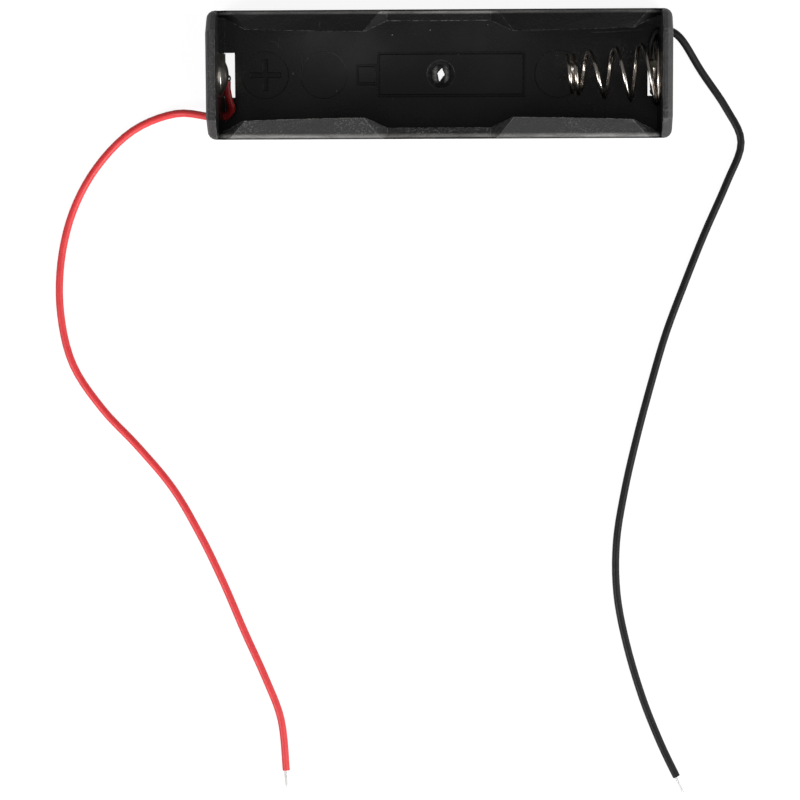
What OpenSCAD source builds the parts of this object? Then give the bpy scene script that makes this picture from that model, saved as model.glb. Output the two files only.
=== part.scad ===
// One-cell cylindrical cell holder with two wire leads.
// +X runs from the positive contact to the spring, +Z is up, and the underside is z = 0.

/* [Cell] */
// Diameter of the cell that the bay takes
cell_d = 18.5; // [17.5:0.1:19.5]
// Length of the cell
cell_len = 65; // [60:0.5:71]
// Gap between the cell and each side wall at the floor
cell_clear = 0.25; // [0.1:0.05:0.6]
// How far the cell stands above the end walls
cell_proud = 1.0; // [0.5:0.1:3]
// Length beside the cell that the two contacts share
contact_room = 8.8; // [7:0.1:12]

/* [Housing] */
// Thickness of the long side walls
wall_t = 1.2; // [1:0.1:2]
// Thickness of the end walls
end_t = 1.7; // [1.7:0.1:2.5]
// Thickness of the floor
floor_t = 1.5; // [1.2:0.1:2.5]
// Radius along the outer edges of the end walls
edge_r = 1.4; // [0.6:0.1:1.4]
// Flat part of the end wall's top, measured across the holder
roof_w = 15; // [13:0.5:16]
// Radius between a side wall and its sloping lip
shoulder_r = 2; // [1:0.1:2.5]
// Clear opening between the two lips
mouth_w = 15.3; // [14.5:0.1:16.5]
// How far the inside of each side wall comes in at mid length, at its top
wall_bow = 0.7; // [0:0.1:1]

/* [Side wall cut-outs] */
// Height of the side walls at the finger cut-out
rail_z = 15; // [12:0.5:16]
// Length of the finger cut-out along its flat bottom
finger_l = 17.2; // [14:0.2:24]
// Length that each lip's sloping end takes
slope_l = 4; // [2:0.2:6]
// Gap at the top between the end wall at the button and the lip on the -Y side
button_gap = 5; // [3:0.2:6]
// Gap at the top between the end wall at the button and the lip on the +Y side
button_gap_far = 5.4; // [3:0.2:6]
// Gap at the top between the end wall at the spring and the next lips
spring_gap = 5.2; // [3:0.2:7]

/* [Floor] */
// Diameter of the fixing hole
screw_d = 3.2; // [2.5:0.1:4]
// Diameter of its countersink at the top of the floor
sink_d = 4.7; // [4.4:0.1:6]
// Depth of the countersink
sink_h = 0.7; // [0.4:0.1:0.9]
// Diameter of the round marks on the floor
mark_d = 8; // [7:0.5:9]
// Depth of the round marks
mark_h = 0.1; // [0.05:0.05:0.2]
// Width of the engraved lines
line_w = 0.4; // [0.3:0.1:0.6]
// Depth of the engraved lines
line_h = 0.25; // [0.15:0.05:0.4]

/* [Contacts] */
// Width of the contact plates
plate_w = 7.4; // [6:0.2:8.4]
// Thickness of the contact plates
plate_t = 0.3; // [0.2:0.05:0.4]
// Clearance at each edge of a plate in its seat
plate_fit = 0.1; // [0.05:0.05:0.2]
// Length of the slot in the floor below each plate
slot_l = 1.7; // [1.2:0.05:2.5]
// Base diameter of the positive button
button_d = 7; // [5:0.2:7.2]
// Height of the positive button above its plate
button_h = 1.5; // [0.8:0.1:2]

/* [Spring] */
// Wire diameter
wire_d = 0.7; // [0.5:0.05:0.9]
// Outer diameter of the turn that touches the cell
tip_d = 6.8; // [5:0.2:8]
// Outer diameter of the turn on the plate
base_d = 10.8; // [9:0.2:12]
// Free length from the plate to the tip
spring_l = 15.8; // [13:0.2:18]
// Lean of the turns
turn_lean = 3.5; // [0:0.5:10]

/* [Leads] */
// Outer diameter of the insulation
lead_d = 1.3; // [1.1:0.1:1.5]
// Diameter of the tinned conductor
core_d = 0.8; // [0.5:0.1:0.9]
// Distance of the lead holes from the centre line
lead_y = 7.1; // [6.5:0.1:7.6]
// Height of the lead holes
lead_z = 4; // [3.5:0.1:5]
// Clearance around a lead in its hole
lead_fit = 0.25; // [0.15:0.05:0.4]

/* [Hidden] */
over = 1;

bay_w = cell_d + 2 * cell_clear;
bay_l = cell_len + contact_room;
body_w = bay_w + 2 * wall_t;
body_l = bay_l + 2 * end_t;
body_h = floor_t + cell_d - cell_proud;
axis_z = floor_t + cell_d / 2;
plate_x = bay_l / 2;
foot_z = 0.3;
plate_top = axis_z + base_d / 2;
seat_gap = 0.3;

// ---------- housing ----------

round_steps = 4;
shoulder_steps = 5;
bay_steps = 8;
least_r = 0.2;
root = 0.5;
lap = 0.2;
tip_edge = 0.3;
knee_drop = 0.4;
tip_z = body_h - (mouth_w - roof_w) / 2;

// How far the inside of a side wall comes in at station x, at full height
function lean_at(x) = wall_bow * max(0, 1 - pow(2 * x / bay_l, 2));

// Moves a section point inward by the lean, in proportion to its height above the floor
function leaned(p, lean) =
    [p[0] - lean * max(0, p[1] - floor_t) / (body_h - floor_t), p[1]];

function reversed(list) = [for (i = [len(list) - 1:-1:0]) list[i]];

// The rounding between the upright outer face and the 45 degree slope, from low to high
function shoulder(inset) =
    let (
        y = body_w / 2 - inset,
        r = max(shoulder_r - inset, least_r),
        bend = inset * tan(22.5),
        corner_z = roof_w / 2 + body_h - body_w / 2 - bend
    )
    [for (i = [0:shoulder_steps])
        let (a = 45 * i / shoulder_steps)
        [y - r + r * cos(a), corner_z - r * tan(22.5) + r * sin(a)]];

// Outline of an end wall, shrunk by inset at its sides and top
function end_outline(inset) =
    let (half = end_half(inset))
    concat([for (p = half) [-p[0], p[1]]], reversed(half));

// Right half of that outline
function end_half(inset) = concat(
    [[body_w / 2 - inset, 0]],
    shoulder(inset),
    [[roof_w / 2 - inset * tan(22.5), body_h - inset]]
);

// Section of a side wall and its lip: up the inside, over the tip and down the outside.
// Its root runs down into the floor, and only the inside leans.
function wall_section(lean) = concat(
    [for (p = [
        [bay_w / 2, floor_t - root],
        [bay_w / 2, rail_z - knee_drop],
        [mouth_w / 2, tip_z - tip_edge],
        [mouth_w / 2, tip_z]
    ]) leaned(p, lean)],
    reversed(shoulder(0)),
    [[body_w / 2, floor_t], [body_w / 2 - root, floor_t - root]]
);

// Skin over sections that all have the same number of points
module loft(sections) {
    n = len(sections[0]);
    last = len(sections) - 1;
    sides = [for (s = [0:last - 1], k = [0:n - 1])
        let (a = s * n + k, b = s * n + (k + 1) % n)
        each [[a, b, b + n], [a, b + n, a + n]]];
    caps = [[for (k = [n - 1:-1:0]) k], [for (k = [0:n - 1]) last * n + k]];
    polyhedron(
        points = [for (section = sections) each section],
        faces = concat(caps, sides),
        convexity = 6
    );
}

// The side walls and the floor run a little way into the end walls
module side_wall() {
    loft([for (i = [0:bay_steps])
        let (x = (bay_l + 2 * lap) * (i / bay_steps - 0.5))
        [for (p = wall_section(lean_at(x))) [x, p[0], p[1]]]]);
}

module floor_slab() {
    translate([-bay_l / 2 - lap, -body_w / 2, 0])
        cube([bay_l + 2 * lap, body_w, floor_t]);
}

// A flat slab whose outer face is rounded off all round
module end_wall() {
    flat = end_t - edge_r;
    translate([bay_l / 2, 0, 0])
        rotate([90, 0, 90])
            linear_extrude(flat) polygon(end_outline(0));
    loft([for (i = [0:round_steps])
        let (a = 90 * i / round_steps)
        [for (p = end_outline(edge_r * (1 - cos(a))))
            [bay_l / 2 + flat + edge_r * sin(a), p[0], p[1]]]]);
}

// A cut through both side walls, drawn in the XZ plane
module wall_cut(points) {
    translate([0, body_w, 0])
        rotate([90, 0, 0])
            linear_extrude(2 * body_w) polygon(points);
}

module finger_cut() {
    half = finger_l / 2;
    rise = body_h - rail_z;
    grow = slope_l * (rise + over) / rise;
    wall_cut([
        [-half, rail_z], [half, rail_z],
        [half + grow, body_h + over], [-half - grow, body_h + over]
    ]);
}

// The slope of a lip's outer end, which runs down to the inner face of the end wall
module end_cut(gap) {
    steep = (body_h - rail_z) / slope_l;
    top = bay_l / 2 - gap;
    wall_cut([
        [top - over / steep, body_h + over],
        [bay_l / 2 + over, body_h - (gap + over) * steep],
        [bay_l / 2 + over, body_h + over]
    ]);
}

module plate_seat() {
    w = plate_w + 2 * plate_fit;
    translate([bay_l / 2 - slot_l, -w / 2, -over])
        cube([slot_l, w, floor_t + 2 * over]);
    translate([bay_l / 2 - over, -w / 2, -over])
        cube([over + plate_t, w, plate_top + seat_gap + over]);
}

module lead_hole() {
    translate([bay_l / 2 - over, lead_y, lead_z])
        rotate([0, 90, 0])
            cylinder(d = lead_d + 2 * lead_fit, h = end_t + 2 * over, $fn = 32);
}

module screw_hole() {
    translate([0, 0, -over])
        cylinder(d = screw_d, h = floor_t + 2 * over, $fn = 48);
    translate([0, 0, floor_t - sink_h])
        cylinder(d1 = screw_d, d2 = sink_d, h = sink_h, $fn = 48);
    translate([0, 0, floor_t])
        cylinder(d = sink_d, h = over, $fn = 48);
}

// Distances of the floor marks from the middle
mark_x = 20;
sign_x = 30;
plus_l = 5.3;
plus_w = 0.8;
drawn_cell = [-10.8, 14.4, 7.6];
drawn_cap = [-14.4, -10.8, 3.5];

module round_mark(x) {
    translate([x, 0, floor_t - mark_h])
        cylinder(d = mark_d, h = mark_h + over, $fn = 64);
}

module plus_sign(x) {
    translate([x, 0, floor_t - line_h])
        for (turn = [0, 90])
            rotate(turn)
                translate([-plus_l / 2, -plus_w / 2, 0])
                    cube([plus_l, plus_w, line_h + over]);
}

// A rectangle engraved as a line, given as [x from, x to, width across Y]
module drawn_box(box) {
    translate([0, 0, floor_t - line_h])
        linear_extrude(line_h + over)
            difference() {
                translate([box[0], -box[2] / 2]) square([box[1] - box[0], box[2]]);
                translate([box[0] + line_w, -box[2] / 2 + line_w])
                    square([box[1] - box[0] - 2 * line_w, box[2] - 2 * line_w]);
            }
}

module holder_body() {
    color([0.09, 0.09, 0.1])
    difference() {
        union() {
            floor_slab();
            for (side = [0, 1]) mirror([side, 0, 0]) end_wall();
            for (side = [0, 1])
                mirror([0, side, 0])
                    difference() {
                        side_wall();
                        finger_cut();
                        end_cut(spring_gap);
                        mirror([1, 0, 0]) end_cut(side == 0 ? button_gap_far : button_gap);
                    }
        }
        screw_hole();
        for (turn = [0, 180]) rotate(turn) {
            plate_seat();
            lead_hole();
        }
        for (x = [-sign_x, -mark_x, mark_x]) round_mark(x);
        plus_sign(-sign_x);
        drawn_box(drawn_cell);
        drawn_box(drawn_cap);
    }
}

// ---------- contacts ----------

module plate() {
    translate([plate_x, -plate_w / 2, foot_z])
        cube([plate_t, plate_w, plate_top - foot_z]);
}

dome_r = (pow(button_d / 2, 2) + pow(button_h, 2)) / (2 * button_h);

module dome_ball(r) {
    translate([plate_x - button_h + dome_r, 0, axis_z]) sphere(r, $fn = 64);
}

// A stamped dome, pointing along -X from the plate at +X
module button() {
    difference() {
        intersection() {
            dome_ball(dome_r);
            translate([plate_x - button_h - over, 0, axis_z])
                rotate([0, 90, 0])
                    cylinder(d = button_d + over, h = button_h + over + plate_t / 2, $fn = 64);
        }
        dome_ball(dome_r - plate_t);
    }
}

module positive_contact_plate() {
    color([0.78, 0.78, 0.76])
    rotate(180) {
        difference() {
            plate();
            dome_ball(dome_r - plate_t);
        }
        button();
    }
}

ear_w = 1.2;
ear_reach = 1.55;
ear_turn = 160;
ear_fit = 0.1;

// Two ears low on the plate that fold over the spring's base turn
module ears() {
    ring = base_d / 2 - wire_d / 2;
    for (side = [-1, 1])
        translate([plate_x, 0, axis_z])
            rotate([side * ear_turn, 0, 0])
                translate([-ear_reach, -ear_w / 2, ring - wire_d / 2 - ear_fit - plate_t]) {
                    cube([ear_reach + plate_t / 2, ear_w, plate_t]);
                    cube([plate_t, ear_w, wire_d + plate_t]);
                }
}

module negative_contact_plate() {
    color([0.78, 0.78, 0.76]) {
        plate();
        ears();
    }
}

// ---------- spring ----------

closed_tip = 1.5;
open_turns = 3;
closed_base = 1;
flat_share = 0.4;
all_turns = closed_tip + open_turns + closed_base;
tip_pitch = wire_d * 1.5;
base_pitch = wire_d * 0.6;
ring_steps = 20;
wire_sides = 8;
tip_r = (tip_d - wire_d) / 2;
base_r = (base_d - wire_d) / 2;
base_x = plate_x - wire_d / 2 - ear_fit;
tip_x = plate_x - spring_l + wire_d / 2;
open_l = base_x - tip_x - closed_tip * tip_pitch - closed_base * base_pitch;

// Axial place of the wire after t turns, counted from the tip
function wire_x(t) =
    tip_x
    + tip_pitch * min(t, closed_tip)
    + open_l * max(0, min(t - closed_tip, open_turns)) / open_turns
    + base_pitch * max(0, t - closed_tip - open_turns);

// Radius of the wire's path after t turns
function wire_r(t) =
    let (u = max(0, min(1, (t - 1) / (all_turns - 1 - closed_base))))
    tip_r + (base_r - tip_r) * u;

// The lean fades out on the turn that sits on the plate
function wire_lean(t) = tan(turn_lean) * max(0, min(1, (all_turns - t) / closed_base - flat_share));

function wire_point(t) =
    let (a = 360 * t, y = wire_r(t) * cos(a), z = wire_r(t) * sin(a))
    [min(wire_x(t) - wire_lean(t) * y, base_x), y, axis_z + z];

function unit(v) = v / norm(v);

// Ring of points around p, square to the direction d
function ring_at(p, d, r, n, up = [0, 0, 1]) =
    let (s = unit(cross(d, up)), w = cross(s, unit(d)))
    [for (k = [0:n - 1])
        let (a = 360 * (k + 0.5) / n)
        p + r * cos(a) * s + r * sin(a) * w];

module contact_spring() {
    count = round(all_turns * ring_steps);
    path = [for (i = [0:count]) wire_point(i / ring_steps)];
    color([0.75, 0.74, 0.72])
        loft([for (i = [0:count])
            ring_at(
                path[i],
                path[min(i + 1, count)] - path[max(i - 1, 0)],
                wire_d / 2, wire_sides, [1, 0, 0]
            )]);
}

// ---------- leads ----------

lead_r = lead_d / 2;
hole_x = body_l / 2;
smooth_steps = 2;

// Routes from the contact, through the end wall, and over the surface below the holder.
// Each holds the inner bend first, then the free length.
red_inner = [
    [-36.2, -1, 5.4], [-36.2, -2.4, 5.4], [-35.9, -4.2, 5], [-35.6, -5.7, 4.5], [-36.4, -6.8, 4.1]
];
red_outer = [
    [-38.9, -7.1, 4], [-45.5, -6.5, 1], [-53, -9.4, 0], [-59.3, -15.6, 0], [-63.6, -23.3, 0],
    [-65.8, -32, 0], [-66, -41, 0], [-64, -49.8, 0], [-59, -57.5, 0], [-53, -64, 0],
    [-47, -71.3, 0], [-42.3, -79.5, 0], [-38.3, -88, 0], [-34.7, -96.7, 0], [-31, -105.2, 0],
    [-28.4, -112.5, 0], [-27.6, -121.4, 0]
];
red_end = [-27.4, -124.3, 0];
black_inner = [
    [36.2, -2.6, 2.5], [36.2, -0.5, 2.3], [36, 1.6, 2.4], [35.75, 3.4, 2.7],
    [35.8, 5, 3.3], [36.5, 6.9, 3.9]
];
black_outer = [
    [38.9, 7.1, 4], [41, 5.4, 3.6], [44.3, 0.2, 2.2], [48.6, -6, 0.9], [51.2, -11.8, 0],
    [48.8, -18.7, 0], [45, -27.5, 0], [41.6, -36.2, 0], [38.5, -44.7, 0], [35.9, -53.8, 0],
    [33.6, -62.7, 0], [31.6, -71.7, 0], [30.2, -80.8, 0], [30.3, -89.8, 0], [32, -98.8, 0],
    [34.8, -108.3, 0], [38, -116.4, 0], [40.8, -122.3, 0]
];
black_end = [42, -124.9, 0];

// A lead rests on the surface below it, never lower
function resting(p) = [p[0], p[1], max(p[2], lead_r)];

// Smooth curve through the points, with a few steps between each two
function curve(p, steps) =
    concat(
        [for (i = [0:len(p) - 2], s = [0:steps - 1])
            let (
                a = p[max(i - 1, 0)], b = p[i], c = p[i + 1], d = p[min(i + 2, len(p) - 1)],
                t = s / steps
            )
            b + t * (c - a) / 2
                + t * t * (2 * a - 5 * b + 4 * c - d) / 2
                + t * t * t * (3 * b - a - 3 * c + d) / 2],
        [p[len(p) - 1]]
    );

module tube(path, r) {
    last = len(path) - 1;
    loft([for (i = [0:last])
        ring_at(path[i], path[min(i + 1, last)] - path[max(i - 1, 0)], r, 8)]);
}

module lead(inner, outer) {
    free = [for (p = curve([for (q = outer) resting(q)], smooth_steps)) resting(p)];
    tube(concat(inner, free), lead_r);
}

// The bare end starts on the flat end of the insulation
module lead_tip(outer, tip_end) {
    start = resting(outer[len(outer) - 1]);
    finish = resting(tip_end);
    tube([start, (start + finish) / 2, finish], core_d / 2);
}

module red_lead() { color([0.8, 0.08, 0.1]) lead(red_inner, red_outer); }
module black_lead() { color([0.1, 0.1, 0.1]) lead(black_inner, black_outer); }
module red_lead_tip() { color([0.8, 0.8, 0.8]) lead_tip(red_outer, red_end); }
module black_lead_tip() { color([0.8, 0.8, 0.8]) lead_tip(black_outer, black_end); }

joint_d = 1.4;
solder_lap = 0.25;

// A bead of solder on the plate at the end of a lead, cut flat where it meets the plate
module solder_joint(inner, side) {
    at = inner[0];
    along = unit(inner[0] - inner[1]);
    spin = atan2(along[1], along[0]);
    tilt = acos(along[2]);
    intersection() {
        translate(at)
            rotate([0, tilt, spin])
                rotate_extrude($fn = 32)
                    intersection() {
                        translate([0, joint_d / 2 - solder_lap]) circle(d = joint_d, $fn = 32);
                        square([joint_d, 2 * joint_d]);
                    }
        translate([side > 0 ? plate_x - 2 * joint_d : -plate_x, -body_w / 2, 0])
            cube([2 * joint_d, body_w, body_h]);
    }
}

module red_solder_joint() { color([0.7, 0.7, 0.7]) solder_joint(red_inner, -1); }
module black_solder_joint() { color([0.7, 0.7, 0.7]) solder_joint(black_inner, 1); }

// ---------- parts ----------

holder_body();
positive_contact_plate();
negative_contact_plate();
contact_spring();
red_lead();
black_lead();
red_lead_tip();
black_lead_tip();
red_solder_joint();
black_solder_joint();
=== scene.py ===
"""Looks of the one-cell holder: materials, spring, leads, small mould faults, light and camera."""
import math
import random

import bmesh  # noqa: E402
import bpy  # noqa: E402
from mathutils import Matrix, Vector  # noqa: E402


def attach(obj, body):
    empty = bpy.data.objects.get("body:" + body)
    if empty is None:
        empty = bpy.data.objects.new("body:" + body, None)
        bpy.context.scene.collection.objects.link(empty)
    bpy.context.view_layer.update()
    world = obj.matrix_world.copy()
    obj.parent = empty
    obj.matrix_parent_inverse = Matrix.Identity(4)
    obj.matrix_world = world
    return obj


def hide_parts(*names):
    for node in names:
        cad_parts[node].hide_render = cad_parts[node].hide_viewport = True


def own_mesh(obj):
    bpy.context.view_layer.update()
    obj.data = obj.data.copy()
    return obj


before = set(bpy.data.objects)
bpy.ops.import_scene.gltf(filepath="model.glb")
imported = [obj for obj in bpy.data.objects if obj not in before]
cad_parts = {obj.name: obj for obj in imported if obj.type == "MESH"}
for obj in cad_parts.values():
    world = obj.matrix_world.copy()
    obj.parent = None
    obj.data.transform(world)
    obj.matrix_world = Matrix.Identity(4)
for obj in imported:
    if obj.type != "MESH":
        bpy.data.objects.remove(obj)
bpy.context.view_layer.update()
scene = bpy.context.scene
MM = 0.001


def mm(*values):
    return Vector([v * MM for v in values])


# ---------- camera ----------

CAMERA_AT = mm(10.735, -0.344, 500.86)
CAMERA_AIM = mm(-7.292, -56.054, 0)
CAMERA_ROLL = -0.005
LENS = 130.95


def make_camera():
    data = bpy.data.cameras.new("camera")
    data.sensor_width = 36
    data.sensor_fit = "HORIZONTAL"
    data.lens = LENS
    data.clip_start = 0.01
    data.clip_end = 20
    camera = bpy.data.objects.new("camera", data)
    scene.collection.objects.link(camera)
    forward = (CAMERA_AIM - CAMERA_AT).normalized()
    right = forward.cross(Vector((0, 1, 0))).normalized()
    up = right.cross(forward)
    c, s = math.cos(CAMERA_ROLL), math.sin(CAMERA_ROLL)
    x_axis = c * right + s * up
    y_axis = c * up - s * right
    turn = Matrix((x_axis, y_axis, -forward)).transposed()
    camera.matrix_world = Matrix.Translation(CAMERA_AT) @ turn.to_4x4()
    scene.camera = camera


make_camera()

# ---------- node helpers ----------


class Shader:
    """A small wrapper for building one material's nodes."""

    def __init__(self, name):
        self.material = bpy.data.materials.new(name)
        self.material.use_nodes = True
        self.tree = self.material.node_tree
        self.tree.nodes.clear()
        self.out = self.tree.nodes.new("ShaderNodeOutputMaterial")
        self.coord = self.tree.nodes.new("ShaderNodeTexCoord").outputs["Object"]

    def link(self, source, target):
        self.tree.links.new(source, target)

    def put(self, target, value):
        if isinstance(value, bpy.types.NodeSocket):
            self.link(value, target)
        else:
            target.default_value = value

    def node(self, kind, settings=None, **inputs):
        made = self.tree.nodes.new(kind)
        for key, value in (settings or {}).items():
            setattr(made, key, value)
        for key, value in inputs.items():
            self.put(made.inputs[key.replace("_", " ")], value)
        return made

    def math(self, operation, a, b=0.0, clamp=False):
        made = self.node("ShaderNodeMath", {"operation": operation, "use_clamp": clamp})
        self.put(made.inputs[0], a)
        self.put(made.inputs[1], b)
        return made.outputs[0]

    def mapped(self, scale=(1, 1, 1), turn=(0, 0, 0), shift=(0, 0, 0)):
        made = self.node("ShaderNodeMapping", Vector=self.coord, Scale=scale,
                         Rotation=turn, Location=shift)
        return made.outputs["Vector"]

    def noise(self, scale, detail=3.0, rough=0.55, vector=None):
        made = self.node("ShaderNodeTexNoise", Vector=vector or self.coord,
                         Scale=scale, Detail=detail, Roughness=rough)
        return made.outputs["Fac"]

    def span(self, value, low, high, to_low=0.0, to_high=1.0, smooth=False):
        made = self.node("ShaderNodeMapRange")
        if smooth:
            made.interpolation_type = "SMOOTHSTEP"
        for key, number in (("Value", value), ("From Min", low), ("From Max", high),
                            ("To Min", to_low), ("To Max", to_high)):
            self.put(made.inputs[key], number)
        return made.outputs["Result"]

    def mix(self, factor, a, b):
        made = self.node("ShaderNodeMix", {"data_type": "RGBA"})
        self.put(made.inputs[0], factor)
        self.put(made.inputs[6], a)
        self.put(made.inputs[7], b)
        return made.outputs[2]

    def bump(self, height, strength, distance, normal=None):
        made = self.node("ShaderNodeBump", Height=height, Strength=strength, Distance=distance)
        if normal is not None:
            self.link(normal, made.inputs["Normal"])
        return made.outputs["Normal"]

    def surface(self, **inputs):
        made = self.node("ShaderNodeBsdfPrincipled", **inputs)
        self.link(made.outputs["BSDF"], self.out.inputs["Surface"])
        return made

    def from_point(self, x, y):
        """Offsets along X and Y from a point in mm, and the distance from it."""
        place = self.node("ShaderNodeSeparateXYZ", Vector=self.coord)
        dx = self.math("SUBTRACT", place.outputs["X"], x * MM)
        dy = self.math("SUBTRACT", place.outputs["Y"], y * MM)
        squares = self.math("ADD", self.math("MULTIPLY", dx, dx), self.math("MULTIPLY", dy, dy))
        return dx, dy, self.math("SQRT", squares)

    def specks(self, scale, size, share, shift=(0, 0, 0)):
        """Mask of small round dots, one in some of the cells of a grid."""
        cells = self.node("ShaderNodeTexVoronoi", Vector=self.mapped(shift=shift), Scale=scale)
        dot = self.span(cells.outputs["Distance"], size, size * 0.6, smooth=True)
        red = self.node("ShaderNodeSeparateColor", Color=cells.outputs["Color"])
        return self.math("MULTIPLY", dot, self.math("GREATER_THAN", red.outputs[0], 1 - share))

    def scratches(self, turn, width, share, stretch=14.0, scale=90.0):
        """Mask of long thin lines along one direction."""
        along = self.mapped(scale=(1 / stretch, 1, 1), turn=(0, 0, turn))
        lines = self.noise(scale, 2.0, 0.5, along)
        near = self.math("ABSOLUTE", self.math("SUBTRACT", lines, 0.5))
        thin = self.span(near, width, 0.0)
        where = self.span(self.noise(60, 1.0, 0.5, self.mapped(shift=(turn, 0, 0))),
                          1 - share, 1 - share + 0.04)
        return self.math("MULTIPLY", thin, where, True)


def rgba(r, g, b):
    return (r, g, b, 1.0)


def outer_edge(s, upper):
    """A painted highlight line along each long top edge, standing in for the shoulder's reflection
    of the bright floor, and the broken shade outside it.
    """
    place = s.node("ShaderNodeSeparateXYZ", Vector=s.coord)
    across = s.math("ABSOLUTE", place.outputs["Y"])
    along = s.math("ABSOLUTE", place.outputs["X"])
    near = s.span(place.outputs["Y"], -0.001, 0.001, 1.0, 0.0)
    sides = s.math("MULTIPLY", upper, s.span(along, *RIM_LONG))
    stretched = s.mapped(scale=(0.22, 1, 1))
    broken = s.noise(900, 4, 0.7, stretched)
    start = s.span(near, 0, 1, 0.00985, 0.0096)
    peak = s.span(near, 0, 1, 0.01018, 0.01022)
    # Painted highlight: a light line just inside the shoulder's outer edge, broken by noise.
    line = s.math("MULTIPLY", s.span(across, start, peak, smooth=True),
                  s.span(across, 0.01052, 0.0103, smooth=True))
    line = s.math("MULTIPLY", line, s.span(broken, 0.3, 0.62, 0.3, 1.0))
    patches = s.noise(170, 3, 0.6, stretched)
    line = s.math("MULTIPLY", line, s.span(patches, 0.38, 0.62, 0.55, 1.0))
    shade = s.math("MULTIPLY", s.span(across, 0.01035, 0.0105), s.span(broken, 0.4, 0.56))
    return s.math("MULTIPLY", line, sides), s.math("MULTIPLY", shade, sides)


def smears(s, places):
    """Mask of short thin arcs, each given in mm as x, y, radius and width, with its direction."""
    total = None
    for x, y, radius, width, turn in places:
        dx, dy, far = s.from_point(x, y)
        ring = s.span(s.math("ABSOLUTE", s.math("SUBTRACT", far, radius * MM)), width * MM, 0.0)
        lean = s.math("ADD", s.math("MULTIPLY", dx, math.cos(turn)),
                      s.math("MULTIPLY", dy, math.sin(turn)))
        part = s.math("MULTIPLY", ring, s.span(lean, 0.6 * radius * MM, 0.85 * radius * MM))
        total = part if total is None else s.math("MAXIMUM", total, part)
    return total


def disc(s, x, y, radius, soft):
    """Mask of a round patch, with its centre, radius and soft rim in mm."""
    far = s.from_point(x, y)[2]
    return s.span(far, (radius + soft) * MM, radius * MM, smooth=True)


def bay_tone(s, place, tone, worn_disc, sink):
    """Lightens the plastic down in the bay: painted light growing towards -X, paler round patches,
    and painted light on the countersink.
    """
    deep = s.span(place.outputs["Z"], *DOWN_IN_BAY)
    # Painted light: the floor deep in the bay is lightened towards -X, with noise.
    painted_bay_light = s.math("MULTIPLY", deep, s.span(place.outputs["X"], 0.014, -0.004))
    painted_bay_light = s.math("MULTIPLY", painted_bay_light, s.span(s.noise(45, 3), 0.3, 0.7, 0.7, 1.1))
    # Lighter round patches on the floor of the bay, with noise.
    right_patch = s.math("MULTIPLY", disc(s, 10, 2, 3, 8), 0.6)
    paler_patches = s.math("MAXIMUM", disc(s, -21, 1, 5, 9), right_patch)
    paler_patches = s.math("MULTIPLY", paler_patches, s.span(s.noise(80, 4), 0.3, 0.7, 0.5, 1.2))
    paler_patches = s.math("MULTIPLY", paler_patches, deep)
    # Painted light: the countersink cone is lightened with noise to stand in for light it catches.
    painted_sink_light = s.math("MULTIPLY", sink, s.span(s.noise(900, 3), 0.35, 0.65, 0.3, 1.0))
    for mask, amount in ((painted_bay_light, 0.006), (paler_patches, 0.018), (worn_disc, 0.005), (painted_sink_light, 0.05)):
        tone = s.math("ADD", tone, s.math("MULTIPLY", mask, amount))
    return tone


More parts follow.
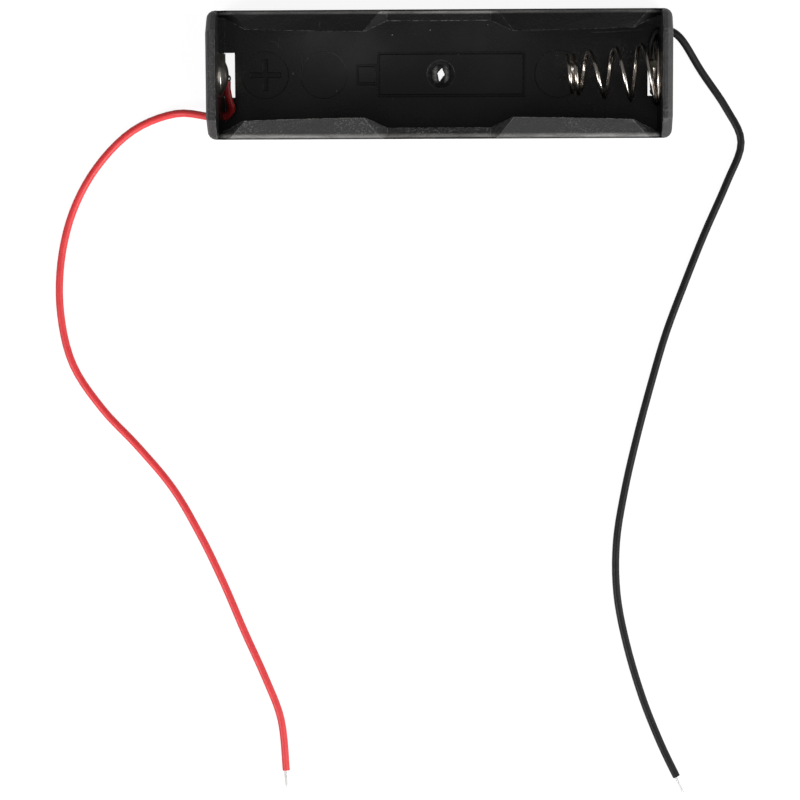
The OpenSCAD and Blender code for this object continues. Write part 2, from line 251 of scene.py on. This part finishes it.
def abs_material():
    """Moulded plastic: satin and grained on the outside, glossier down in the bay."""
    s = Shader("black_abs")
    place = s.node("ShaderNodeSeparateXYZ", Vector=s.coord)
    height = place.outputs["Z"]
    upper = s.span(height, *LIPS_UP, smooth=True)
    near = s.math("MULTIPLY", upper, s.span(place.outputs["Y"], -0.003, -0.006))
    dust = s.math("MAXIMUM", s.specks(240, 0.045, 0.4), s.specks(620, 0.06, 0.16, (0.3, 0.1, 0.2)))
    marks = s.math("MAXIMUM", s.scratches(0.5, 0.004, 0.42), s.scratches(1.9, 0.003, 0.36))
    geometry = s.node("ShaderNodeNewGeometry").outputs["Normal"]
    rounded = s.node("ShaderNodeBevel", {"samples": 6}, Radius=EDGE_RADIUS).outputs[0]
    turned = s.node("ShaderNodeVectorMath", {"operation": "DISTANCE"})
    s.link(geometry, turned.inputs[0])
    s.link(rounded, turned.inputs[1])
    ragged = s.span(s.noise(1100, 3, 0.7), 0.42, 0.62)
    # Lighter rounded edges: partly wear and flash, partly painted edge highlight.
    worn_and_lit_edge = s.math("MULTIPLY", s.span(turned.outputs["Value"], 0.1, 0.45), ragged)
    worn_and_lit_edge = s.math("MULTIPLY", worn_and_lit_edge, s.span(upper, 0, 1, 0.1, 1.0), True)
    rim_highlight, rim_shade = outer_edge(s, upper)
    tone = s.span(s.noise(55, 3), 0.3, 0.7, ABS_TONE * 0.85, ABS_TONE * 1.2)
    ends = s.math("MULTIPLY", upper, s.span(s.math("ABSOLUTE", place.outputs["X"]), *END_WALLS))
    speckle = s.span(s.noise(3500, 2, 0.5), 0.53, 0.64, 0.0, 1.0, smooth=True)
    speckle = s.math("MULTIPLY", speckle, s.span(s.noise(140, 3, 0.6), 0.42, 0.62, 0.15, 1.0))
    speckle = s.math("MULTIPLY", speckle, s.span(s.math("MAXIMUM", near, ends), 0, 1, 0.15, 1.0))
    speckle = s.math("MULTIPLY", speckle, upper)
    low = s.span(height, *FLOOR_DOWN, 1.0, 0.0)
    low = s.math("MULTIPLY", low, s.span(s.math("ABSOLUTE", place.outputs["Y"]), *BAY_WIDE))
    low = s.math("MULTIPLY", low, s.span(s.math("ABSOLUTE", place.outputs["X"]), *BAY_LONG))
    groove = s.math("MULTIPLY", s.span(height, 0.00136, 0.00132), s.span(height, 0.00118, 0.00122))
    worn_disc = s.math("MULTIPLY", s.math("MULTIPLY", disc(s, 20, 0, 3.9, 0.15), low),
                       s.span(s.noise(90, 3), 0.3, 0.7, 0.6, 1.0))
    sink = disc(s, 0, 0, 2.3, 0.3)
    tone = bay_tone(s, place, tone, worn_disc, sink)
    blue = s.math("MULTIPLY", tone, 1.06)
    grey = s.node("ShaderNodeCombineColor", Red=tone, Green=tone, Blue=blue)
    colour = s.mix(s.math("MULTIPLY", marks, 0.35), grey.outputs[0], rgba(0.09, 0.09, 0.09))
    scuffs = smears(s, SMEARS)
    colour = s.mix(s.math("MULTIPLY", scuffs, 0.6), colour, rgba(0.12, 0.12, 0.12))
    colour = s.mix(s.math("MULTIPLY", speckle, 0.42), colour, rgba(0.13, 0.125, 0.12))
    # Rounded edges lightened: partly wear and flash, partly painted highlight.
    colour = s.mix(s.math("MULTIPLY", worn_and_lit_edge, 0.75), colour, rgba(0.22, 0.215, 0.2))
    # Painted highlight along the long top edges.
    colour = s.mix(s.math("MULTIPLY", rim_highlight, 0.8), colour, rgba(0.33, 0.32, 0.31))
    colour = s.mix(s.math("MULTIPLY", dust, 0.8), colour, rgba(0.42, 0.41, 0.4))
    plain = s.span(ends, 0, 1, s.span(upper, 0, 1, BAY_ROUGH, TOP_ROUGH), END_ROUGH)
    gloss = s.math("ADD", plain, s.span(s.noise(160, 4), 0.3, 0.7, -0.05, 0.06))
    gloss = s.math("ADD", gloss, s.span(s.noise(45, 3, 0.6, s.mapped(shift=(0.2, 0.1, 0))),
                                        0.35, 0.65, -0.03, 0.05))
    gloss = s.math("ADD", gloss, s.math("MULTIPLY", marks, 0.2))
    gloss = s.math("ADD", gloss, s.math("MULTIPLY", dust, 0.4), True)
    wave = s.bump(s.noise(70, 2), 0.25, 0.0006, rounded)
    fine = s.math("MULTIPLY", s.noise(2600, 3, 0.6), s.span(upper, 0, 1, 0.3, 1.0))
    pits = s.math("MULTIPLY", s.noise(1500, 2, 0.6), near)
    grain = s.bump(s.math("ADD", fine, pits), 0.6, 0.00012, wave)
    relief = s.math("SUBTRACT", dust, s.math("MULTIPLY", marks, 0.6))
    normal = s.bump(relief, 0.3, 0.00006, grain)
    level = s.span(near, 0, 1, s.span(upper, 0, 1, BAY_SHEEN, FAR_SHEEN), NEAR_SHEEN)
    level = s.span(ends, 0, 1, level, END_SHEEN)
    facing = s.node("ShaderNodeSeparateXYZ", Vector=geometry).outputs["Z"]
    rim_shade = s.math("MULTIPLY", rim_shade, s.span(facing, 0.02, 0.15))
    level = s.math("MULTIPLY", level, s.span(rim_shade, 0, 1, 1.0, 0.15))
    steep = s.math("MULTIPLY", low, s.span(facing, 0.9, 0.3))
    steep = s.math("MAXIMUM", steep, s.math("MULTIPLY", groove, 0.25))
    cut = s.math("MULTIPLY", low, s.span(turned.outputs["Value"], 0.05, 0.35))
    steep = s.math("MULTIPLY", s.math("MAXIMUM", steep, cut), s.math("SUBTRACT", 1.0, sink))
    level = s.math("MULTIPLY", level, s.span(steep, 0, 1, 1.0, 0.3))
    s.surface(Base_Color=colour, Roughness=gloss, Normal=normal, IOR=1.5,
              Specular_IOR_Level=level)
    return s.material


def nickel_material(name, base, rough, painted_shade=0.0, metal=1.0):
    """Plated metal; painted shade darkens it outside the stamped button, standing in for the shade
    deep in the bay.
    """
    s = Shader(name)
    stain = s.span(s.noise(350, 3), 0.35, 0.75)
    colour = s.mix(stain, rgba(*base), rgba(*[v * 0.88 for v in base]))
    if painted_shade:
        place = s.node("ShaderNodeSeparateXYZ", Vector=s.coord)
        up = s.math("SUBTRACT", place.outputs["Z"], AXIS_Z * MM)
        far = s.math("ADD", s.math("MULTIPLY", up, up),
                     s.math("MULTIPLY", place.outputs["Y"], place.outputs["Y"]))
        far = s.math("SQRT", far)
        outside = s.span(far, 0.0033, 0.0036)
        # Painted shade: outside the button the plate is darkened to stand in for the shade deep in
        # the bay.
        colour = s.mix(s.math("MULTIPLY", outside, painted_shade), colour, rgba(0.07, 0.065, 0.055))
        steps = s.math("ADD", s.span(far, 0.00318, 0.00296, smooth=True),
                       s.math("MULTIPLY", s.span(far, 0.0018, 0.0016, smooth=True), 0.5))
    gloss = s.span(s.noise(900, 3), 0.3, 0.7, rough - 0.04, rough + 0.06)
    drawn = s.bump(s.noise(500, 2, 0.5), 0.05, 0.00003)
    if painted_shade:
        drawn = s.bump(steps, 1.0, 0.00012, drawn)
    s.surface(Base_Color=colour, Metallic=metal, Roughness=gloss, Normal=drawn)
    return s.material


def flash_material():
    """The torn web in the fixing hole, paler to each side: stress-whitened where it was stretched,
    and painted highlight for the side lights' reflections.
    """
    s = Shader("moulding_flash")
    place = s.node("ShaderNodeSeparateXYZ", Vector=s.coord)
    away = s.math("ABSOLUTE", place.outputs["X"])
    # Paler to each side: partly stress-whitening, partly painted highlight.
    whitened_and_lit = s.math("MULTIPLY", s.span(away, 0.0004, 0.0009), s.span(away, 0.0016, 0.0011))
    whitened_and_lit = s.math("MULTIPLY", whitened_and_lit, s.span(s.noise(1900, 3, 0.6), 0.35, 0.65, 0.2, 1.0))
    colour = s.mix(whitened_and_lit, rgba(0.02, 0.02, 0.021), rgba(0.5, 0.49, 0.47))
    crumpled = s.bump(s.noise(1500, 3), 0.7, 0.0002)
    s.surface(Base_Color=colour, Roughness=0.45, Normal=crumpled, IOR=1.5)
    return s.material


def pvc_material(name, base, deep, rough, glow, sheen=0.5):
    s = Shader(name)
    colour = s.mix(s.span(s.noise(300, 3), 0.35, 0.7), rgba(*base), rgba(*deep))
    dust = s.specks(900, 0.06, 0.2)
    colour = s.mix(s.math("MULTIPLY", dust, 0.4), colour, rgba(0.6, 0.58, 0.56))
    gloss = s.span(s.noise(800, 3), 0.3, 0.7, rough - 0.05, rough + 0.08)
    skin = s.bump(s.noise(1300, 3), 0.25, 0.00005)
    s.surface(Base_Color=colour, Roughness=gloss, Normal=skin, IOR=1.52,
              Specular_IOR_Level=sheen, Subsurface_Weight=glow, Subsurface_Scale=0.0006,
              Subsurface_Radius=(1.0, 0.25, 0.2))
    return s.material


AXIS_Z = 10.75
BAY_ROUGH = 0.27
TOP_ROUGH = 0.44
ABS_TONE = 0.006
EDGE_RADIUS = 0.00016
END_ROUGH = 0.42
BAY_SHEEN = 0.8
FAR_SHEEN = 0.3
NEAR_SHEEN = 0.42
END_SHEEN = 0.85
# Where the plastic's masks fade, from and to, in metres in the frame.
LIPS_UP = (0.0125, 0.0143)
DOWN_IN_BAY = (0.009, 0.004)
FLOOR_DOWN = (0.0016, 0.0018)
BAY_WIDE = (0.0097, 0.0095)
BAY_LONG = (0.0371, 0.0369)
END_WALLS = (0.0365, 0.037)
RIM_LONG = (0.0371, 0.0364)
SMEARS = ((-19.15, 8.3, 0.5, 0.07, 3.1), (-26.4, 5.5, 1.3, 0.06, 3.2), (-29.1, 4.4, 1.4, 0.06, 0.9),
          (-20, 0, 3.97, 0.07, -0.1), (-20, 0, 3.97, 0.07, 0.6))
ABS = abs_material()
FLASH = flash_material()
# Both contact plates get painted shade outside the button.
NICKEL = nickel_material("nickel_plate", (0.56, 0.53, 0.47), 0.32, painted_shade=0.6)
WIRE = nickel_material("nickel_wire", (0.82, 0.75, 0.68), 0.2)
TIN = nickel_material("tinned_copper", (0.9, 0.9, 0.89), 0.42, metal=0.55)
SOLDER = nickel_material("solder", (0.66, 0.67, 0.68), 0.22)
RED = pvc_material("red_pvc", (0.84, 0.05, 0.055), (0.76, 0.04, 0.045), 0.42, 0.2)
BLACK = pvc_material("black_pvc", (0.011, 0.011, 0.012), (0.008, 0.008, 0.009), 0.4, 0.0, 0.23)


def cad_look(node, material):
    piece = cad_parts[node]
    piece.data.materials.clear()
    piece.data.materials.append(material)


cad_look("holder_body", ABS)
cad_look("positive_contact_plate", NICKEL)
cad_look("negative_contact_plate", NICKEL)
for node in ("contact_spring", "red_solder_joint", "black_solder_joint"):
    cad_look(node, SOLDER)
for node in ("red_lead_tip", "black_lead_tip"):
    cad_look(node, TIN)
cad_look("red_lead", RED)
cad_look("black_lead", BLACK)

# ---------- leads ----------

LEAD_D = 1.3
LEAD_R = LEAD_D / 2
LEAD_Y = 7.1
LEAD_Z = 4.0

RED_INNER = [
    (-36.2, -1, 5.4), (-36.2, -2.4, 5.4), (-35.9, -4.2, 5), (-35.6, -5.7, 4.5), (-36.4, -6.8, 4.1)
]
RED_OUTER = [
    (-38.9, -7.1, 4), (-45.5, -6.5, 1), (-53, -9.4, 0), (-59.3, -15.6, 0), (-63.6, -23.3, 0),
    (-65.8, -32, 0), (-66, -41, 0), (-64, -49.8, 0), (-59, -57.5, 0), (-53, -64, 0),
    (-47, -71.3, 0), (-42.3, -79.5, 0), (-38.3, -88, 0), (-34.7, -96.7, 0), (-31, -105.2, 0),
    (-28.4, -112.5, 0), (-27.6, -121.4, 0)
]
RED_END = (-27.4, -124.3, 0)
BLACK_INNER = [
    (36.2, -2.6, 2.5), (36.2, -0.5, 2.3), (36, 1.6, 2.4), (35.75, 3.4, 2.7), (35.8, 5, 3.3),
    (36.5, 6.9, 3.9)
]
BLACK_OUTER = [
    (38.9, 7.1, 4), (41, 5.4, 3.6), (44.3, 0.2, 2.2), (48.6, -6, 0.9), (51.2, -11.8, 0),
    (48.8, -18.7, 0), (45, -27.5, 0), (41.6, -36.2, 0), (38.5, -44.7, 0), (35.9, -53.8, 0),
    (33.6, -62.7, 0), (31.6, -71.7, 0), (30.2, -80.8, 0), (30.3, -89.8, 0), (32, -98.8, 0),
    (34.8, -108.3, 0), (38, -116.4, 0), (40.8, -122.3, 0)
]
BLACK_END = (42, -124.9, 0)


def resting(point):
    return mm(point[0], point[1], max(point[2], LEAD_R))


def smooth(points, steps):
    """Points along a smooth curve through the given ones."""
    made = []
    for i in range(len(points) - 1):
        a, b = points[max(i - 1, 0)], points[i]
        c, d = points[i + 1], points[min(i + 2, len(points) - 1)]
        for k in range(steps):
            t = k / steps
            made.append(b + t * (c - a) / 2 + t * t * (2 * a - 5 * b + 4 * c - d) / 2
                        + t * t * t * (3 * b - a - 3 * c + d) / 2)
    made.append(points[-1])
    return made


def wire_curve(name, points, radius, material, radii=None):
    """A round wire along a line of points, with its ends closed."""
    data = bpy.data.curves.new(name, "CURVE")
    data.dimensions = "3D"
    data.bevel_depth = radius
    data.bevel_resolution = 5
    data.use_fill_caps = True
    spline = data.splines.new("POLY")
    spline.points.add(len(points) - 1)
    for i, point in enumerate(points):
        spline.points[i].co = (*point, 1)
        spline.points[i].radius = radii[i] if radii else 1.0
    spline.use_smooth = True
    piece = bpy.data.objects.new(name, data)
    data.materials.append(material)
    scene.collection.objects.link(piece)
    return piece


def lead(colour, inner, outer, side, material):
    """The free lead from inside its hole to the end of its insulation, and the hook inside."""
    start = Vector((side * 37.4, side * LEAD_Y, LEAD_Z)) * MM
    path = smooth([start] + [resting(p) for p in outer], 5)
    path = [Vector((p.x, p.y, max(p.z, LEAD_R * MM))) for p in path]
    cord = wire_curve(colour + "_lead_cord", path, LEAD_R * MM, material)
    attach(cord, "holder")
    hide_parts(colour + "_lead")
    in_wall = Vector((side * 37.6, side * LEAD_Y, LEAD_Z)) * MM
    hook = smooth([resting(p) for p in inner] + [in_wall], 8)
    hook_piece = wire_curve(colour + "_lead_hook", hook, LEAD_R * MM, material)
    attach(hook_piece, "holder")
    return cord, path


def twisted_tip(colour, path, end):
    """The tinned end: seven fine strands with a slight twist, run together by the tin."""
    start = path[-1]
    ahead = (resting(end) - start)
    reach = ahead.length
    ahead.normalize()
    side = ahead.cross(Vector((0, 0, 1))).normalized()
    up = side.cross(ahead)
    parts = []
    steps = 24
    for k in range(7):
        line = []
        for i in range(steps + 1):
            t = i / steps
            turn = 2 * math.pi * (k / 6 + 0.9 * t)
            off = 0.0 if k == 6 else 0.25 * MM * (1 - 0.2 * t)
            at = start + ahead * ((reach + 0.5 * MM) * t - 0.3 * MM)
            line.append(at + off * (math.cos(turn) * side + math.sin(turn) * up))
        parts.append(line)
    data = bpy.data.curves.new(colour + "_tip_strands", "CURVE")
    data.dimensions = "3D"
    data.bevel_depth = 0.15 * MM
    data.bevel_resolution = 3
    data.use_fill_caps = True
    for line in parts:
        spline = data.splines.new("POLY")
        spline.points.add(len(line) - 1)
        for i, point in enumerate(line):
            spline.points[i].co = (*point, 1)
            spline.points[i].radius = 1.0 if i < len(line) - 2 else 0.7
        spline.use_smooth = True
    data.materials.append(TIN)
    piece = bpy.data.objects.new(colour + "_tip_strands", data)
    scene.collection.objects.link(piece)
    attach(piece, "holder")
    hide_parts(colour + "_lead_tip")
    return piece


for colour, inner, outer, end, side, material, slot_name in (
    ("red", RED_INNER, RED_OUTER, RED_END, -1, RED, "red_pvc"),
    ("black", BLACK_INNER, BLACK_OUTER, BLACK_END, 1, BLACK, "black_pvc"),
):
    cord, path = lead(colour, inner, outer, side, material)
    tip = twisted_tip(colour, path, end)

# ---------- spring ----------

PLATE_X = 36.9
WIRE_D = 0.7
CLOSED_TIP = 1.5
OPEN_TURNS = 3.0
CLOSED_BASE = 1.0
ALL_TURNS = CLOSED_TIP + OPEN_TURNS + CLOSED_BASE
TIP_PITCH = WIRE_D * 1.5
BASE_PITCH = WIRE_D * 0.6
TIP_RING = (6.8 - WIRE_D) / 2
BASE_RING = (10.8 - WIRE_D) / 2
BASE_X = PLATE_X - WIRE_D / 2 - 0.1
SPRING_L = 15.8
TIP_X = PLATE_X - SPRING_L + WIRE_D / 2
OPEN_L = BASE_X - TIP_X - CLOSED_TIP * TIP_PITCH - CLOSED_BASE * BASE_PITCH
LEAN = math.tan(math.radians(3.5))


def spring_point(t):
    x = (TIP_X + TIP_PITCH * min(t, CLOSED_TIP)
         + OPEN_L * max(0, min(t - CLOSED_TIP, OPEN_TURNS)) / OPEN_TURNS
         + BASE_PITCH * max(0, t - CLOSED_TIP - OPEN_TURNS))
    grow = max(0, min(1, (t - 1) / (ALL_TURNS - 1 - CLOSED_BASE)))
    r = TIP_RING + (BASE_RING - TIP_RING) * grow
    lean = LEAN * max(0, min(1, (ALL_TURNS - t) / CLOSED_BASE - 0.4))
    y = r * math.cos(2 * math.pi * t)
    z = r * math.sin(2 * math.pi * t)
    return mm(min(x - lean * y, BASE_X), y, AXIS_Z + z)


def make_spring():
    steps = 48
    count = round(ALL_TURNS * steps)
    path = [spring_point(i / steps) for i in range(count + 1)]
    piece = wire_curve("spring_wire", path, WIRE_D / 2 * MM, WIRE)
    depsgraph = bpy.context.evaluated_depsgraph_get()
    mesh = bpy.data.meshes.new_from_object(piece.evaluated_get(depsgraph))
    bpy.data.objects.remove(piece)
    spring = bpy.data.objects.new("spring_wire", mesh)
    scene.collection.objects.link(spring)
    for face in mesh.polygons:
        face.use_smooth = True
    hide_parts("contact_spring")
    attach(spring, "holder")
    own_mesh(spring)
    return spring


make_spring()

# ---------- torn flash in the fixing hole ----------


def make_flash():
    """A thin web across the hole with a torn, roughly diamond-shaped opening."""
    rng = random.Random(7)
    sides = 64
    rings = [(1.62, 0.86), (1.2, 0.80)]
    mesh = bmesh.new()
    top, low = [], []
    for level in (0.0, -0.09):
        loops = []
        for r, z in rings:
            loops.append([mesh.verts.new(mm(r * math.cos(2 * math.pi * k / sides),
                                            r * math.sin(2 * math.pi * k / sides), z + level))
                          for k in range(sides)])
        inner = []
        for k in range(sides):
            a = 2 * math.pi * k / sides
            b = a + 0.2
            diamond = 1 / (abs(math.cos(b)) / 0.58 + abs(math.sin(b)) / 1.06)
            ragged = diamond * (1.1 + 0.07 * math.sin(3 * a + 1) + 0.04 * math.sin(9 * a))
            ragged += rng.uniform(-0.03, 0.03) if level == 0.0 else 0.0
            inner.append(mesh.verts.new(mm(ragged * math.cos(a), ragged * math.sin(a),
                                           0.76 + 0.05 * math.sin(2 * a) + level)))
        loops.append(inner)
        (top if level == 0.0 else low).extend(loops)
    for k in range(sides):
        n = (k + 1) % sides
        for a, b in zip(top, top[1:]):
            mesh.faces.new((a[k], a[n], b[n], b[k]))
        for a, b in zip(low, low[1:]):
            mesh.faces.new((a[k], b[k], b[n], a[n]))
        mesh.faces.new((top[-1][k], top[-1][n], low[-1][n], low[-1][k]))
        mesh.faces.new((top[0][k], low[0][k], low[0][n], top[0][n]))
    bmesh.ops.recalc_face_normals(mesh, faces=mesh.faces)
    data = bpy.data.meshes.new("torn_flash")
    mesh.to_mesh(data)
    mesh.free()
    for face in data.polygons:
        face.use_smooth = True
    data.materials.append(FLASH)
    piece = bpy.data.objects.new("torn_flash", data)
    scene.collection.objects.link(piece)
    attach(piece, "holder")


make_flash()

# ---------- floor, light ----------

FLOOR_GLOW = 0.9
FLOOR_TONE = 0.22


def make_floor():
    data = bpy.data.meshes.new("floor")
    e = 3.0
    data.from_pydata([(-e, -e, 0), (e, -e, 0), (e, e, 0), (-e, e, 0)], [], [(0, 1, 2, 3)])
    piece = bpy.data.objects.new("floor", data)
    piece.location.z = -0.00002
    scene.collection.objects.link(piece)
    s = Shader("floor_white")
    seen = s.node("ShaderNodeLightPath")
    plain = s.node("ShaderNodeBsdfDiffuse", Color=rgba(0.86, 0.86, 0.86))
    shaded = s.node("ShaderNodeBsdfDiffuse", Color=rgba(FLOOR_TONE, FLOOR_TONE, FLOOR_TONE))
    glow = s.node("ShaderNodeEmission", Color=rgba(1, 1, 1), Strength=FLOOR_GLOW)
    bright = s.node("ShaderNodeAddShader")
    s.link(shaded.outputs[0], bright.inputs[0])
    s.link(glow.outputs[0], bright.inputs[1])
    pick = s.node("ShaderNodeMixShader", Fac=seen.outputs["Is Camera Ray"])
    s.link(plain.outputs[0], pick.inputs[1])
    s.link(bright.outputs[0], pick.inputs[2])
    s.link(pick.outputs[0], s.out.inputs["Surface"])
    data.materials.append(s.material)


def make_world(level):
    world = bpy.data.worlds.new("studio")
    scene.world = world
    world.use_nodes = True
    tree = world.node_tree
    tree.nodes.clear()
    out = tree.nodes.new("ShaderNodeOutputWorld")
    dim = tree.nodes.new("ShaderNodeBackground")
    dim.inputs["Strength"].default_value = level
    white = tree.nodes.new("ShaderNodeBackground")
    white.inputs["Color"].default_value = rgba(1, 1, 1)
    seen = tree.nodes.new("ShaderNodeLightPath")
    pick = tree.nodes.new("ShaderNodeMixShader")
    tree.links.new(seen.outputs["Is Camera Ray"], pick.inputs[0])
    tree.links.new(dim.outputs[0], pick.inputs[1])
    tree.links.new(white.outputs[0], pick.inputs[2])
    tree.links.new(pick.outputs[0], out.inputs[0])
    dim.inputs["Color"].default_value = rgba(1, 1, 1)


def softbox(name, at, size, radiance):
    """A rectangular light, with its sides in metres, turned to the object."""
    data = bpy.data.lights.new(name, "AREA")
    data.shape = "RECTANGLE"
    data.size, data.size_y = size
    data.energy = radiance * math.pi * size[0] * size[1]
    lamp = bpy.data.objects.new(name, data)
    lamp.location = at
    aim = Vector((0, -0.03, 0)) - Vector(at)
    lamp.rotation_euler = aim.to_track_quat("-Z", "Y").to_euler()
    lamp.visible_camera = False
    scene.collection.objects.link(lamp)


make_floor()
make_world(0.13)
softbox("softbox_right", (0.68, -0.75, 0.8), (0.6, 0.8), 7.6)
softbox("softbox_left", (-0.85, -0.55, 0.8), (0.6, 0.8), 5.0)
softbox("softbox_front", (0.1, -1.0, 0.42), (1.4, 0.6), 1.2)
softbox("softbox_side", (1.1, -0.1, 0.4), (0.5, 0.8), 2.2)

scene.view_settings.view_transform = "Standard"
